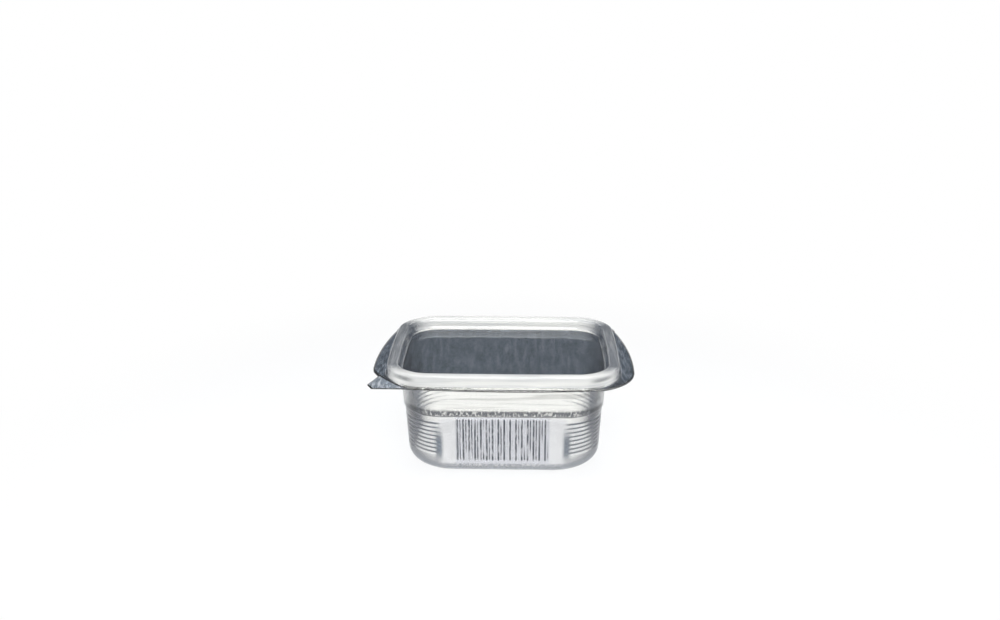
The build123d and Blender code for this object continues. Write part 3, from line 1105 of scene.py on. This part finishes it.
pale = bpy.data.materials.new("pale_floor")
pale.use_nodes = True
tree = pale.node_tree
pale_shader = tree.nodes["Principled BSDF"]
pale_shader.inputs["Base Color"].default_value = (0.9, 0.9, 0.9, 1)
pale_shader.inputs["Roughness"].default_value = 0.9
pale_shader.inputs["Specular IOR Level"].default_value = 0.0
glow = tree.nodes.new("ShaderNodeEmission")
glow.inputs["Strength"].default_value = 1.0
spot = tree.nodes.new("ShaderNodeTexCoord")
distance = tree.nodes.new("ShaderNodeVectorMath")
distance.operation = "LENGTH"
tree.links.new(spot.outputs["Object"], distance.inputs[0])
far = ramp(tree, distance.outputs["Value"], 0.14, 0.4)
choose = tree.nodes.new("ShaderNodeMixShader")
tree.links.new(calculate(tree, "MULTIPLY", far, seen_directly(tree)), choose.inputs["Fac"])
tree.links.new(pale_shader.outputs[0], choose.inputs[1])
tree.links.new(glow.outputs[0], choose.inputs[2])
tree.links.new(choose.outputs[0], tree.nodes["Material Output"].inputs["Surface"])
floor.data.materials.append(pale)
print("floor finish:", pale.name)

# %% [markdown]
# Round a clear thing the world matters as much as the lamps, because it shows through. A
# studio picture could surround it, but one plain level looks right from all sides. Near the
# horizon it turns white for the camera, mirrors and glass, so that the floor has no dark
# edge behind it in low views.

# %% The world
PLAIN_LEVEL = 0.26
PLAIN_COLOR = (0.94, 0.97, 1.0)
WHITE = (1.0, 1.0, 1.0)
world = bpy.data.worlds.new("studio")
bpy.context.scene.world = world
world.use_nodes = True
tree = world.node_tree
sky = tree.nodes["Background"]
aim = tree.nodes.new("ShaderNodeTexCoord")
rise = tree.nodes.new("ShaderNodeSeparateXYZ")
tree.links.new(aim.outputs["Generated"], rise.inputs[0])
horizon = ramp(tree, rise.outputs["Z"], 0.1, 0.28, 1.0, 0.0)
white = calculate(tree, "MULTIPLY", horizon, seen_directly(tree))
level = calculate(tree, "MULTIPLY_ADD", white, 1.0 - PLAIN_LEVEL, PLAIN_LEVEL)
tree.links.new(level, sky.inputs["Strength"])
tree.links.new(mix_color(tree, white, PLAIN_COLOR, WHITE), sky.inputs["Color"])
print("plain level of the world:", PLAIN_LEVEL)

# %% [markdown]
# One large lamp overhead gives the plain level. Clear plastic also needs something narrow
# to mirror, and small round lamps would leave only dots. So four long strips stand round the
# pack, about 40 degrees up, and draw white streaks along its ridge, its rounded edges and
# the upper sides of its ribs.

# %% Lamps
PACK_MIDDLE = Vector((0, 0, 0.04))


def lamp(name, place, size, power):
    """A rectangular area lamp that looks at the pack; size is its width and height."""
    data = bpy.data.lights.new(name, "AREA")
    data.shape = "RECTANGLE"
    data.size, data.size_y = size
    data.energy = power
    thing = bpy.data.objects.new(name, data)
    thing.location = place
    aim = PACK_MIDDLE - Vector(place)
    thing.rotation_euler = aim.to_track_quat("-Z", "Y").to_euler()
    bpy.context.scene.collection.objects.link(thing)
    print(name, power, "W")


lamp("overhead", (0.0, 0.05, 1.1), (0.9, 0.9), 7.3)
lamp("front_strip", (0.1, -1.0, 0.75), (1.0, 0.24), 6.6)
lamp("left_strip", (-1.0, -0.15, 0.7), (0.8, 0.14), 2.0)
lamp("right_strip", (1.0, -0.2, 0.75), (0.8, 0.14), 2.0)
lamp("back_strip", (0.0, 1.1, 0.8), (1.0, 0.14), 1.6)

# %% [markdown]
# The camera stands where the photograph was taken from: a little over 0.7 m in front of the
# pack and 34 cm above the table, looking down by 18 degrees. It could be set by eye, but its
# place was fitted, until the pack's outlines lay on those of the photograph. Light has to
# pass many walls of clear sheet, so the number of bounces is raised.

# %% The camera
LOOKING_DOWN = 18.153
LOOKING_LEFT = 1.456
LENS = 39.15
BOUNCES = 32
camera_data = bpy.data.cameras.new("camera")
camera_data.sensor_width = 36.0
camera_data.lens = LENS
camera = bpy.data.objects.new("camera", camera_data)
camera.location = (0.01543, -0.7296, 0.3429)
camera.rotation_euler = (math.radians(90 - LOOKING_DOWN), 0, math.radians(LOOKING_LEFT))
bpy.context.scene.collection.objects.link(camera)
bpy.context.scene.camera = camera
scene = bpy.context.scene
scene.view_settings.view_transform = "Standard"
scene.cycles.max_bounces = BOUNCES
scene.cycles.transmission_bounces = BOUNCES
scene.cycles.transparent_max_bounces = BOUNCES
print("camera lens:", LENS, "mm, looking down by", LOOKING_DOWN, "degrees")
